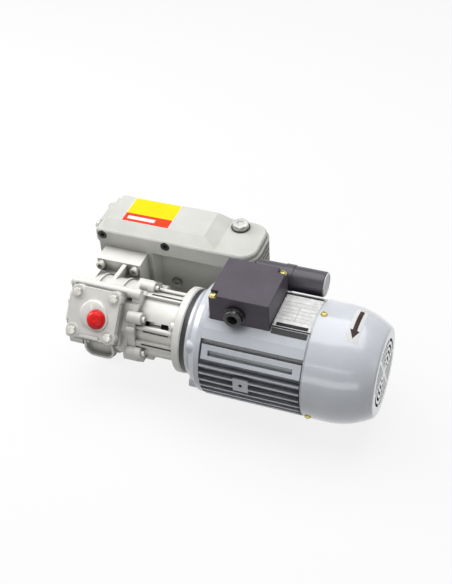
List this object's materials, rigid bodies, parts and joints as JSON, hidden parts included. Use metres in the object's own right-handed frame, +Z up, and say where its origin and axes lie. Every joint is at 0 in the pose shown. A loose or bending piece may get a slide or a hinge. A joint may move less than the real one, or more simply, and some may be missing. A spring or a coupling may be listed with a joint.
{
  "type": "rotary vane vacuum pump",
  "caption": "Oil-sealed rotary vane vacuum pump: face-mounted electric motor, coupling lantern, vane cylinder with capped inlet flange, and an oil separator box behind on foot rails.",
  "frame": {"origin": "centre of the foot bolt pattern, on the floor under the rubber feet", "axes": "+X along the shaft from the pump to the fan, +Y from the motor to the separator box, +Z up"},
  "size_m": [0.4595, 0.244, 0.207],
  "materials": {
    "cast_paint": "silver painted casting",
    "box_paint": "light warm grey paint",
    "rail_paint": "grey paint",
    "motor_paint": "gloss grey-blue paint",
    "motor_body": "grey paint",
    "cover_sheet": "gloss grey-blue paint",
    "black_plastic": "satin black",
    "fan_plastic": "matte",
    "black_rubber": "matte",
    "gasket_paper": "dark fibre",
    "ring_steel": "black",
    "plated_steel": "zinc plated",
    "brass": "turned",
    "red_plastic": "gloss red",
    "machined_steel": "ground",
    "bronze": "bronze bush",
    "cast_iron_hub": "as cast",
    "copper_winding": "varnished copper",
    "filter_felt": "fibre filter",
    "vane_fibre": "composite"
  },
  "bodies": {
    "housing": {"band_screws": "plated_steel", "cable_gland": "black_plastic", "capacitor": "black_plastic", "capacitor_clamp": "plated_steel", "cylinder_screws": "plated_steel", "drain_plug": "plated_steel", "end_cover_screws": "plated_steel", "exhaust_cover": "box_paint", "exhaust_cover_gasket": "gasket_paper", "exhaust_cover_screws": "plated_steel", "exhaust_filter": "filter_felt", "fan_cover": "cover_sheet", "fan_cover_screws": "brass", "filter_clip": "plated_steel", "flange_ring": "ring_steel", "gland_nut": "black_plastic", "gland_seal": "black_rubber", "inlet_flange": "cast_paint", "inlet_flange_bolts": "plated_steel", "inlet_gasket": "gasket_paper", "lantern": "cast_paint", "lantern_screws": "plated_steel", "left_end_cover": "cast_paint", "left_foot_rail": "rail_paint", "lid_screws": "brass", "motor_bearings": "machined_steel", "motor_drive_shield": "motor_paint", "motor_flange_screws": "plated_steel", "motor_frame": "motor_body", "motor_rear_shield": "motor_paint", "pump_bearings": "bronze", "pump_cylinder": "cast_paint", "right_end_cover": "cast_paint", "right_foot_rail": "rail_paint", "rubber_feet": "black_rubber", "separator_housing": "box_paint", "shaft_seal": "black_rubber", "sight_glass": "brass", "stator_core": "machined_steel", "stator_windings": "copper_winding", "terminal_block": "fan_plastic", "terminal_box_base": "black_plastic", "terminal_box_lid": "black_plastic", "wall_plug": "plated_steel"},
    "rotor": {"pump_rotor": "machined_steel", "coupling_pump_half": "cast_iron_hub", "coupling_spider": "black_rubber", "coupling_motor_half": "cast_iron_hub", "motor_shaft": "machined_steel", "motor_rotor_core": "machined_steel", "cooling_fan": "fan_plastic"},
    "vane_one": {"vane_1": "vane_fibre"},
    "vane_two": {"vane_2": "vane_fibre"},
    "vane_three": {"vane_3": "vane_fibre"},
    "inlet_cap": {"inlet_cap": "red_plastic"},
    "filler_plug": {"filler_plug": "plated_steel", "filler_washer": "brass"},
    "valve_disc": {"valve_disc": "machined_steel"}
  },
  "joints": [
    {"name": "shaft_spin", "type": "hinge", "parent": "housing", "child": "rotor", "pos_m": [0.053, -0.082, 0.098], "axis": [1, 0, 0], "continuous": true},
    {"name": "vane_one_slide", "type": "slide", "parent": "rotor", "child": "vane_one", "axis": [0, -1, 0], "range_m": [-0.003, 0]},
    {"name": "vane_two_slide", "type": "slide", "parent": "rotor", "child": "vane_two", "axis": [0, 0.5, -0.866], "range_m": [-0.003, 0]},
    {"name": "vane_three_slide", "type": "slide", "parent": "rotor", "child": "vane_three", "axis": [0, 0.5, 0.866], "range_m": [-0.003, 0]},
    {"name": "inlet_cap_pull", "type": "slide", "parent": "housing", "child": "inlet_cap", "axis": [0, -0.788, 0.6157], "range_m": [0, 0.04]},
    {"name": "filler_plug_lift", "type": "slide", "parent": "housing", "child": "filler_plug", "axis": [0, 0, 1], "range_m": [0, 0.03]},
    {"name": "valve_disc_open", "type": "slide", "parent": "housing", "child": "valve_disc", "axis": [0, 0.788, -0.6157], "range_m": [0, 0.008], "stiffness_N_per_m": 50, "springref_m": -0.01}
  ]
}
